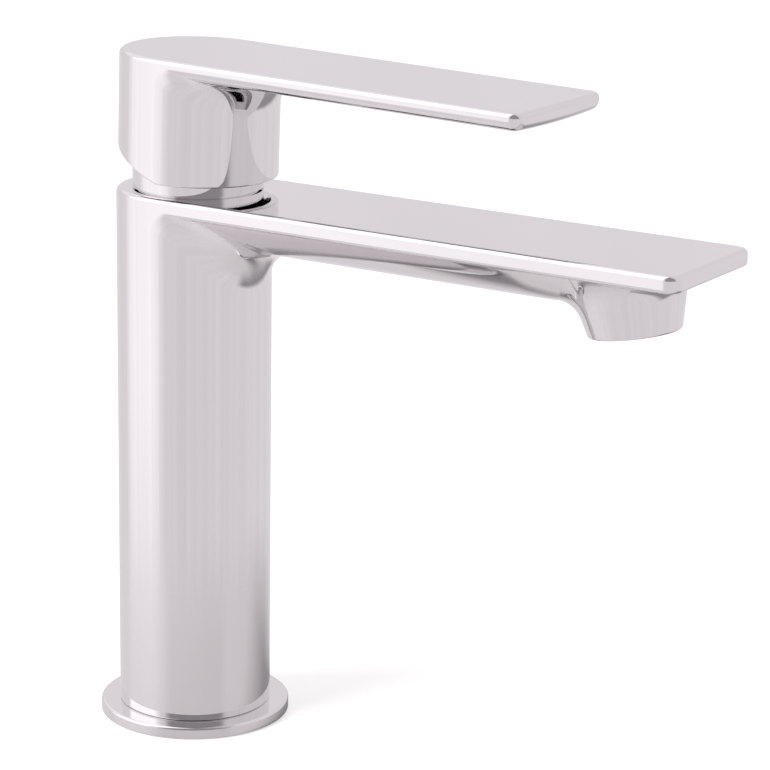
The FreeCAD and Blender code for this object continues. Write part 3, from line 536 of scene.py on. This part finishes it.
def stud_boss_skin():
    bm = bmesh.new()
    outer = ring(bm, BOSS, BOSS_R, BOSS_TOP, ROUND_BOSS)
    bmesh.ops.edgeloop_fill(bm, edges=outer)
    hole = turned_steps(bm, outer, BOSS, [(BOSS_R, COLUMN_FOOT), (STUD_R, COLUMN_FOOT), (STUD_R, STUD_TOP)])
    bmesh.ops.edgeloop_fill(bm, edges=hole)
    bmesh.ops.recalc_face_normals(bm, faces=bm.faces)
    return bm


body_bm = body_skin()
for skin in (nozzle_skin(), stud_boss_skin()):
    carrier = bpy.data.meshes.new("carrier")
    skin.to_mesh(carrier)
    skin.free()
    body_bm.from_mesh(carrier)
    bpy.data.meshes.remove(carrier)
body_piece = add_piece("body_shell", body_bm, "faucet", "polished_chrome", "body_casting")

# %% [markdown]
# The lever is the same form over the pivot: a round hub with a thin blade, cast in one. The blade is
# a little thicker in the middle, and a bevel is cut off the hub's foot at the back so that it can
# tip. Its underside follows a rule like the spout's, so the same skin fits both.

# %% The lever's form
LEVER_REACH = 104.5
LEVER_TOP = 33.4
HUB_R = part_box("lever")[1].y / MM
HUB_FOOT = 1.75
HUB_BEVEL = math.tan(math.radians(21))
HUB_BEVEL_START = 1.6
BLADE_CORNER = 3.0
BLADE_PLAN = (HUB_R, LEVER_REACH, BLADE_CORNER)
BLADE_EDGE = 4.4
BLADE_EDGE_ROUND = 2.6
BLADE_CROWN = 0.6
BLADE_NECK_MIDDLE = 9.5
BLADE_NECK_SIDE = 4.0


def hub_foot(x):
    return HUB_FOOT + max(0.0, HUB_BEVEL_START - x) * HUB_BEVEL


def blade_underside(x, y):
    crown = BLADE_CROWN * max(0.0, 1 - (y / HUB_R) ** 2)
    lift_off = rounded_edge(edge_distance(x, y, BLADE_PLAN), BLADE_EDGE_ROUND)
    return LEVER_TOP - BLADE_EDGE - crown + lift_off


blade_neck = neck_between(BLADE_NECK_SIDE, BLADE_NECK_MIDDLE)
print("hub radius", round(HUB_R, 2), "blade reach", LEVER_REACH)

# %% [markdown]
# The blade's top is filled as one flat face. The hub is hollow over the cartridge, with a boss for
# the stem, so its foot is extruded inwards, up to a ceiling and down the boss, and the foot's outer
# edge is bevelled. The lever is modelled level about the pivot and then drooped with its solid.

# %% The lever's skin
LEVER_DROOP = math.radians(1.5)
HUB_CAVITY_R = 18.65
HUB_CEILING = 29.0
HUB_BOSS_R = 8.5
HUB_BOSS_FOOT = 14.5
HUB_FOOT_ROUND = 0.4
HUB_FOOT_STEPS = 4


def to_cavity(co):
    x, y = co.x * HUB_CAVITY_R / HUB_R, co.y * HUB_CAVITY_R / HUB_R
    return Vector((x, y, hub_foot(x)))


def droop_to_pivot(bm):
    """Droop a piece that was modelled level about the origin, and carry it to the pivot."""
    droop = Matrix.Rotation(LEVER_DROOP, 3, "Y")
    bmesh.ops.rotate(bm, cent=(0, 0, 0), matrix=droop, verts=bm.verts)
    bmesh.ops.translate(bm, vec=pivot, verts=bm.verts)


def lever_skin():
    bm, top_rim = post_and_tongue(BLADE_PLAN, LEVER_TOP, EDGE_ROUND, hub_foot, blade_underside, blade_neck)
    bmesh.ops.edgeloop_fill(bm, edges=top_rim)
    foot = border(bm, lambda co: co.z < HUB_CEILING)
    inner = ring_out(bm, foot, to_cavity)
    ceiling = ring_out(bm, inner, lambda co: Vector((co.x, co.y, HUB_CEILING)))
    boss = turned_steps(bm, ceiling, Vector(), [(HUB_BOSS_R, HUB_CEILING), (HUB_BOSS_R, HUB_BOSS_FOOT)])
    bmesh.ops.edgeloop_fill(bm, edges=boss)
    bmesh.ops.recalc_face_normals(bm, faces=bm.faces)
    bmesh.ops.bevel(bm, geom=foot, offset=HUB_FOOT_ROUND, offset_type="OFFSET", segments=HUB_FOOT_STEPS,
                    profile=0.5, affect="EDGES", material=-1)
    droop_to_pivot(bm)
    return bm


lever_piece = add_piece("lever_shell", lever_skin(), "handle", "polished_chrome", "lever")

# %% [markdown]
# The base ring and the cover ring are turned pieces: a section with a rounded upper edge, spun about
# the upright axis, as a lathe makes it. Spin closes the ring when use_merge is on.

# %% Spinning a section
RING_STEPS = 6


def spun(section, segments, closed):
    """A (radius, height) section, closed or ending on the axis, spun about the upright axis."""
    bm = bmesh.new()
    verts = [bm.verts.new((radius, 0, height)) for radius, height in section]
    pairs = [(vert, verts[index - 1]) for index, vert in enumerate(verts)]
    edges = [bm.edges.new(pair) for pair in (pairs if closed else pairs[1:])]
    bmesh.ops.spin(bm, geom=verts + edges, cent=(0, 0, 0), axis=(0, 0, 1), angle=2 * math.pi,
                   steps=segments, use_merge=True)
    weld(bm)
    bmesh.ops.recalc_face_normals(bm, faces=bm.faces)
    return bm


def rounded(radius, height, size):
    """The points of an upper outer edge, rounded."""
    return [(radius - size * (1 - math.cos(lean)), height - size * (1 - math.sin(lean)))
            for lean in quarter_turn(RING_STEPS)]


# %% [markdown]
# The base ring is the polished collar between column and basin. A groove in its lower face holds the
# gasket, which stays a CAD piece.

# %% The base ring
ROUND_RING = 192
RING_BORE_R = 18.1
RING_ROUND = 0.8
GROOVE_IN_R = 20.15
GROOVE_OUT_R = 23.45
GROOVE_TOP = 1.5
ring_section = [
    (RING_BORE_R, 0), (GROOVE_IN_R, 0), (GROOVE_IN_R, GROOVE_TOP), (GROOVE_OUT_R, GROOVE_TOP),
    (GROOVE_OUT_R, 0), (ring_high.x, 0), *rounded(ring_high.x, ring_high.z, RING_ROUND),
    (RING_BORE_R, ring_high.z),
]
ring_bm = spun(ring_section, ROUND_RING, True)
base_ring_piece = add_piece("base_ring_shell", ring_bm, "faucet", "polished_chrome", "base_ring")

# %% [markdown]
# The cover ring hides the cartridge nut between body and lever. Outside the body's collar it stands
# a little above the top face, which draws the dark line under it.

# %% The cover ring
CAP_INNER_R = 15.6
CAP_OPENING_R = 11.6
CAP_LIP = 1.2
CAP_ROUND = 1.2
CAP_GAP_R = 15.8
CAP_GAP_TOP = cap_low.z + 0.35
cap_section = [
    (CAP_INNER_R, cap_low.z), (CAP_GAP_R, cap_low.z), (CAP_GAP_R, CAP_GAP_TOP), (cap_high.y, CAP_GAP_TOP),
    *rounded(cap_high.y, cap_high.z, CAP_ROUND), (CAP_OPENING_R, cap_high.z),
    (CAP_OPENING_R, cap_high.z - CAP_LIP), (CAP_INNER_R, cap_high.z - CAP_LIP),
]
cap_bm = spun(cap_section, ROUND_RING, True)
bmesh.ops.translate(cap_bm, vec=(pivot.x, 0, 0), verts=cap_bm.verts)
cap_piece = add_piece("cap_ring_shell", cap_bm, "faucet", "polished_chrome", "cap_ring")

# %% [markdown]
# At the hub's back a small moulded plug covers the grub screw. It is a shallow dome, spun like the
# rings and then laid over to face backwards. Its rim sits a little below the hub's wall.

# %% The screw plug
PLUG_R = 3.0
PLUG_DOME = 0.35
PLUG_DEPTH = 1.5
PLUG_HEIGHT = 19.5
PLUG_SUNK = 0.15
DOME_STEPS = 8
ROUND_PLUG = 48
dome = [(PLUG_R * math.cos(lean), PLUG_DOME * math.sin(lean)) for lean in quarter_turn(DOME_STEPS)]
plug_bm = spun([(0.0, -PLUG_DEPTH), (PLUG_R, -PLUG_DEPTH), *dome], ROUND_PLUG, False)
lay_over = Matrix.Rotation(-math.pi / 2, 3, "Y")
bmesh.ops.rotate(plug_bm, cent=(0, 0, 0), matrix=lay_over, verts=plug_bm.verts)
bmesh.ops.translate(plug_bm, vec=(PLUG_SUNK - HUB_R, 0, PLUG_HEIGHT), verts=plug_bm.verts)
droop_to_pivot(plug_bm)
plug_piece = add_piece("screw_plug_dome", plug_bm, "handle", "grey_plastic", "screw_plug")

# %% [markdown]
# Finishes. Colours are written as sRGB hex values and turned to linear by one function, and one
# function adds a node with its settings, values and links. Patterns read Object coordinates, in
# metres, so a feature of a given size in millimetres has a scale of 1000 over that size.

# %% Helpers for materials
def linear(hex_colour):
    """sRGB hex to a linear RGBA colour."""
    parts = [int(hex_colour[index:index + 2], 16) / 255 for index in (0, 2, 4)]
    return (*[part / 12.92 if part <= 0.04045 else ((part + 0.055) / 1.055) ** 2.4 for part in parts], 1.0)


def per_mm(size):
    """Noise scale for a feature of a size in millimetres."""
    return 1 / (size * MM)


def set_inputs(tree, node, inputs):
    """Set a node's inputs to values, or link other nodes' outputs into them."""
    for name, given in inputs.items():
        if isinstance(given, bpy.types.NodeSocket):
            tree.links.new(given, node.inputs[name])
        else:
            node.inputs[name].default_value = given


def add_node(tree, kind, inputs, **settings):
    """Add a node with its settings, and set or link its inputs."""
    node = tree.nodes.new(kind)
    for name, setting in settings.items():
        setattr(node, name, setting)
    set_inputs(tree, node, inputs)
    return node


def new_finish(name, colour, inputs):
    """A material whose shader has one colour and these even values."""
    material = bpy.data.materials.new(name)
    material.use_nodes = True
    shader = material.node_tree.nodes["Principled BSDF"]
    set_inputs(material.node_tree, shader, {"Base Color": linear(colour), **inputs})
    return material, material.node_tree, shader


# %% [markdown]
# Polished chrome plate over brass is a neutral mirror, so all the colour that it shows comes from
# its surroundings. Buffing leaves a very slight unevenness in its gloss, over patches of about
# 18 mm, and that is all the detail it has.

# %% Polished chrome
BUFFED_MM = 18
BUFFED_ROUGHNESS = (0.02, 0.06)


def polished_chrome():
    material, tree, shader = new_finish("polished_chrome_plate", "EAE8E9", {"Metallic": 1.0})
    place = add_node(tree, "ShaderNodeTexCoord", {})
    haze = add_node(tree, "ShaderNodeTexNoise", {
        "Vector": place.outputs["Object"], "Scale": per_mm(BUFFED_MM), "Detail": 3.0, "Roughness": 0.6})
    smooth, dull = BUFFED_ROUGHNESS
    gloss = add_node(tree, "ShaderNodeMapRange", {
        "Value": haze.outputs["Fac"], "To Min": smooth, "To Max": dull})
    set_inputs(tree, shader, {"Roughness": gloss.outputs["Result"]})
    return material


# %% [markdown]
# The pieces inside are moulded plastic and rubber, turned brass and steel, and lapped ceramic. Each
# has a fine grain that its making leaves: the colour and the gloss drift over it, and a very low
# bump goes with them. One function makes them all, from two colours, the grain's size in
# millimetres, the range of roughness and the strength of the bump.

# %% Moulded, turned and lapped finishes
GRAIN_RELIEF = 0.02 * MM


def mottled(name, colours, grain_mm, roughness, bump, inputs):
    material, tree, shader = new_finish(name, colours[0], inputs)
    place = add_node(tree, "ShaderNodeTexCoord", {})
    grain = add_node(tree, "ShaderNodeTexNoise", {
        "Vector": place.outputs["Object"], "Scale": per_mm(grain_mm), "Detail": 5.0, "Roughness": 0.55})
    tint = add_node(tree, "ShaderNodeValToRGB", {"Fac": grain.outputs["Fac"]})
    for stop, colour in zip(tint.color_ramp.elements, colours):
        stop.color = linear(colour)
    smooth, dull = roughness
    gloss = add_node(tree, "ShaderNodeMapRange", {
        "Value": grain.outputs["Fac"], "To Min": smooth, "To Max": dull})
    relief = add_node(tree, "ShaderNodeBump", {
        "Height": grain.outputs["Fac"], "Strength": bump, "Distance": GRAIN_RELIEF})
    set_inputs(tree, shader, {
        "Base Color": tint.outputs["Color"],
        "Roughness": gloss.outputs["Result"],
        "Normal": relief.outputs["Normal"],
    })
    return material


METAL = {"Metallic": 1.0}
ACETAL = {"IOR": 1.48}
FINISHES = {
    "polished_chrome": polished_chrome(),
    "turned_brass": mottled(
        "turned_brass", ("C9A45C", "B58D45"), 0.8, (0.22, 0.38), 0.3, METAL),
    "stainless_steel": mottled(
        "turned_stainless_steel", ("C6C7C9", "AEB0B3"), 0.5, (0.25, 0.4), 0.3, METAL),
    "black_rubber": mottled(
        "moulded_black_rubber", ("232325", "2E2E30"), 0.7, (0.65, 0.85), 0.5, {}),
    "white_acetal": mottled(
        "moulded_white_acetal", ("EBEAE5", "DFDED8"), 1.2, (0.35, 0.5), 0.25, ACETAL),
    "ceramic_disc": mottled(
        "lapped_alumina_ceramic", ("F0EBDF", "E4DECF"), 0.4, (0.18, 0.3), 0.15, {"IOR": 1.76}),
    "aerator_shell_plastic": mottled(
        "moulded_grey_abs", ("B9BABD", "ABADB1"), 0.9, (0.3, 0.45), 0.25, {"IOR": 1.53}),
    "grey_plastic": mottled(
        "moulded_dark_acetal", ("85868A", "76777C"), 0.9, (0.4, 0.55), 0.3, ACETAL),
}
for entry in frame["record"]["subparts"]:
    node = frame["nodes"][entry["node"]]
    node.data.materials.clear()
    node.data.materials.append(FINISHES[entry["material_slot"]])
for piece in (body_piece, lever_piece, base_ring_piece, cap_piece, plug_piece):
    piece.data.materials.append(FINISHES[piece["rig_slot"]])
print("finishes:", len(FINISHES))

# %% [markdown]
# The studio is a tent of white cloth. A mirror shows nothing but its surroundings, so the light from
# each direction gives the faucet its form, and the sides of the tent are set one by one. The flat
# tops mirror the pale backdrop. The softbox on the left draws the bright band down column and hub,
# and the panel above it the white line along the upper edges, with a softer light overhead. The room
# round the camera is darker. Low down on the right the tent carries a painted shadow: a darker patch
# that stands in for the faucet's shadow on the floor, where the chrome mirrors the tent beyond the
# board. Both give the roundings and the hollows their shade. Folds in the cloth make upright
# streaks. The camera sees plain white.

# %% The tent's sides
# For each side: its bearing, the angles from it where the side ends and is full, the heights where
# it ends and is full, or None where it has all heights, and its light. Angles are in degrees.
TENT_SIDES = {
    "backdrop": (110, (130, 60), None, 0.755),
    "camera side": (306, (50, 36), (2, 10), 0.3),
    # Painted shadow: a darker patch low on the right that stands in for the faucet's shadow on the floor, as the
    # chrome mirrors it.
    "painted floor shadow": (62, (62, 40), (-24, -34), 0.3),
    "softbox": (221, (44, 10), (-26, -14), 1.06),
    "overhead": (187, (64, 46), (14, 28), 0.93),
    "panel": (216, (34, 22), (14, 22), 1.4),
}

world = bpy.data.worlds.new("tent")
bpy.context.scene.world = world
world.use_nodes = True
sky = world.node_tree
sky.nodes.clear()
towards = add_node(sky, "ShaderNodeTexCoord", {}).outputs["Generated"]
height = add_node(sky, "ShaderNodeSeparateXYZ", {"Vector": towards}).outputs["Z"]
flat = add_node(sky, "ShaderNodeVectorMath", {0: towards, 1: (1, 1, 0)}, operation="MULTIPLY")
level_ray = add_node(sky, "ShaderNodeVectorMath", {0: flat.outputs["Vector"]}, operation="NORMALIZE")
compass = level_ray.outputs["Vector"]

# %% [markdown]
# Each side is a mask that is 1 inside it and passes softly to 0 at its edges. The dot product of a
# ray's compass direction with the side's own is the cosine of the angle between them, and the ray's
# height is its sine. Where the mask is on, the light goes from the level so far to the side's own.

# %% The tent's light
TENT = 0.73
TENT_COLOUR = (1.046, 1.0, 1.031, 1.0)
FOLDS = 0.12
FOLDS_SCALE = 8.0
level = TENT
for bearing, angles, heights, light in TENT_SIDES.values():
    side = (math.cos(math.radians(bearing)), math.sin(math.radians(bearing)), 0)
    near = add_node(sky, "ShaderNodeVectorMath", {0: compass, 1: side}, operation="DOT_PRODUCT")
    outer, inner = (math.cos(math.radians(angle)) for angle in angles)
    across = add_node(sky, "ShaderNodeMapRange", {
        "Value": near.outputs["Value"], "From Min": outer, "From Max": inner},
        interpolation_type="SMOOTHSTEP")
    mask = across.outputs["Result"]
    if heights:
        outer, inner = (math.sin(math.radians(angle)) for angle in heights)
        upright = add_node(sky, "ShaderNodeMapRange", {
            "Value": height, "From Min": outer, "From Max": inner}, interpolation_type="SMOOTHSTEP")
        both = add_node(sky, "ShaderNodeMath", {
            0: mask, 1: upright.outputs["Result"]}, operation="MULTIPLY")
        mask = both.outputs["Value"]
    level = add_node(sky, "ShaderNodeMix", {"Factor": mask, "A": level, "B": light}).outputs["Result"]

cloth = add_node(sky, "ShaderNodeTexNoise", {"Vector": compass, "Scale": FOLDS_SCALE, "Detail": 4.0})
streaks = add_node(sky, "ShaderNodeMapRange", {
    "Value": cloth.outputs["Fac"], "To Min": 1 - FOLDS, "To Max": 1 + FOLDS})
streaked = add_node(sky, "ShaderNodeMath", {0: level, 1: streaks.outputs["Result"]}, operation="MULTIPLY")
sky_path = add_node(sky, "ShaderNodeLightPath", {})
seen = add_node(sky, "ShaderNodeMix", {
    "Factor": sky_path.outputs["Is Camera Ray"], "A": streaked.outputs["Value"], "B": 1.0})
shine = add_node(sky, "ShaderNodeBackground", {"Strength": seen.outputs["Result"], "Color": TENT_COLOUR})
add_node(sky, "ShaderNodeOutputWorld", {"Surface": shine.outputs["Background"]})
print("tent sides:", ", ".join(TENT_SIDES))

# %% [markdown]
# The key light is a square panel up on the left. It lights the floor and throws the faucet's soft
# shadow to the right and back. The chrome doesn't mirror it, because the tent's sides already draw
# the highlights, and a small strong light would make them ragged.

# %% The key light
KEY_BEARING = math.radians(236)
KEY_HEIGHT = math.radians(38)
KEY_DISTANCE = 1.3
KEY_TARGET = Vector((0.04, 0, 0.08))
KEY_SIZE = 0.8
KEY_POWER = 35.0
key = bpy.data.objects.new("key", bpy.data.lights.new("key", "AREA"))
key.data.size = KEY_SIZE
key.data.energy = KEY_POWER
key.data.color = TENT_COLOUR[:3]
key.visible_glossy = False
level_x = math.cos(KEY_BEARING) * math.cos(KEY_HEIGHT)
level_y = math.sin(KEY_BEARING) * math.cos(KEY_HEIGHT)
aim = Vector((level_x, level_y, math.sin(KEY_HEIGHT)))
key.location = aim * KEY_DISTANCE + KEY_TARGET
key.rotation_euler = aim.to_track_quat("Z", "Y").to_euler()
bpy.context.scene.collection.objects.link(key)
print("key light at", [round(part, 2) for part in key.location], "m")

# %% [markdown]
# The floor is a sheet of glossy pale board, a hair below the base ring so that the two never share
# a plane. For the camera it glows, so that it meets the white tent and still shows the shadow.

# %% The floor
FLOOR_R = 3.0
FLOOR_GAP = 0.2 * MM
FLOOR_SIDES = 96
FLOOR_GLOW = 0.6
floor_bm = bmesh.new()
bmesh.ops.create_circle(floor_bm, cap_ends=True, segments=FLOOR_SIDES, radius=FLOOR_R,
                        matrix=Matrix.Translation((0, 0, -FLOOR_GAP)))
floor_mesh = bpy.data.meshes.new("floor")
floor_bm.to_mesh(floor_mesh)
floor_bm.free()
floor = bpy.data.objects.new("floor", floor_mesh)
bpy.context.scene.collection.objects.link(floor)
board, board_tree, board_shader = new_finish("glossy_pale_board", "A4A3A3", {
    "Roughness": 0.25, "Emission Color": (1.0, 1.0, 1.0, 1.0)})
floor.data.materials.append(board)
board_path = add_node(board_tree, "ShaderNodeLightPath", {})
glow = add_node(board_tree, "ShaderNodeMath", {
    0: board_path.outputs["Is Camera Ray"], 1: FLOOR_GLOW}, operation="MULTIPLY")
set_inputs(board_tree, board_shader, {"Emission Strength": glow.outputs["Value"]})
print("floor radius", FLOOR_R, "m")

# %% [markdown]
# The chrome mirrors the board only near the faucet. From 60 to 200 mm away the board turns clear to
# reflections, so that the walls mirror the tent's lower sides, as they would on a small table. It is
# also clear from below, so that a view from there shows the faucet's underside.

# %% Where the floor is clear
FLOOR_MIRRORED = (0.06, 0.20)
board_place = add_node(board_tree, "ShaderNodeTexCoord", {})
away = add_node(board_tree, "ShaderNodeVectorMath", {0: board_place.outputs["Object"]}, operation="LENGTH")
mirrored_from, mirrored_to = FLOOR_MIRRORED
far = add_node(board_tree, "ShaderNodeMapRange", {
    "Value": away.outputs["Value"], "From Min": mirrored_from, "From Max": mirrored_to},
    interpolation_type="SMOOTHSTEP")
mirrored_far = add_node(board_tree, "ShaderNodeMath", {
    0: far.outputs["Result"], 1: board_path.outputs["Is Glossy Ray"]}, operation="MULTIPLY")
surface = add_node(board_tree, "ShaderNodeNewGeometry", {})
unseen = add_node(board_tree, "ShaderNodeMath", {
    0: surface.outputs["Backfacing"], 1: mirrored_far.outputs["Value"]}, operation="MAXIMUM")
clear = add_node(board_tree, "ShaderNodeBsdfTransparent", {})
partly = add_node(board_tree, "ShaderNodeMixShader", {
    0: unseen.outputs["Value"], 1: board_shader.outputs["BSDF"], 2: clear.outputs["BSDF"]})
set_inputs(board_tree, board_tree.nodes["Material Output"], {"Surface": partly.outputs["Shader"]})
print("floor clear to reflections beyond", mirrored_to, "m")

# %% [markdown]
# The camera stands where the photograph was taken from. Its place was fitted to edge points of the
# column, spout, lever and rings: a long lens, above the lever, turned slightly off centre.

# %% The camera
LENS_MM = 136.39
SENSOR_MM = 36
CLIP_START = 0.01
CAMERA_AZIMUTH = math.radians(36.01)
CAMERA_DISTANCE = 735.92
CAMERA_HEIGHT = 290.93
CAMERA_YAW = math.radians(-3.869)
CAMERA_PITCH = math.radians(15.319)
CAMERA_ROLL = math.radians(0.946)

camera = bpy.data.objects.new("camera", bpy.data.cameras.new("camera"))
camera.data.lens = LENS_MM
camera.data.sensor_width = SENSOR_MM
camera.data.clip_start = CLIP_START
heading = CAMERA_AZIMUTH + CAMERA_YAW
looking = Matrix.Rotation(heading, 4, "Z") @ Matrix.Rotation(math.pi / 2 - CAMERA_PITCH, 4, "X")
stand = Vector((math.sin(CAMERA_AZIMUTH), -math.cos(CAMERA_AZIMUTH), 0)) * CAMERA_DISTANCE
stand.z = CAMERA_HEIGHT
camera.matrix_world = Matrix.Translation(stand * MM) @ looking @ Matrix.Rotation(CAMERA_ROLL, 4, "Z")
bpy.context.scene.collection.objects.link(camera)
bpy.context.scene.camera = camera
bpy.context.scene.view_settings.view_transform = "Standard"
print("camera at", [round(part) for part in stand], "mm")
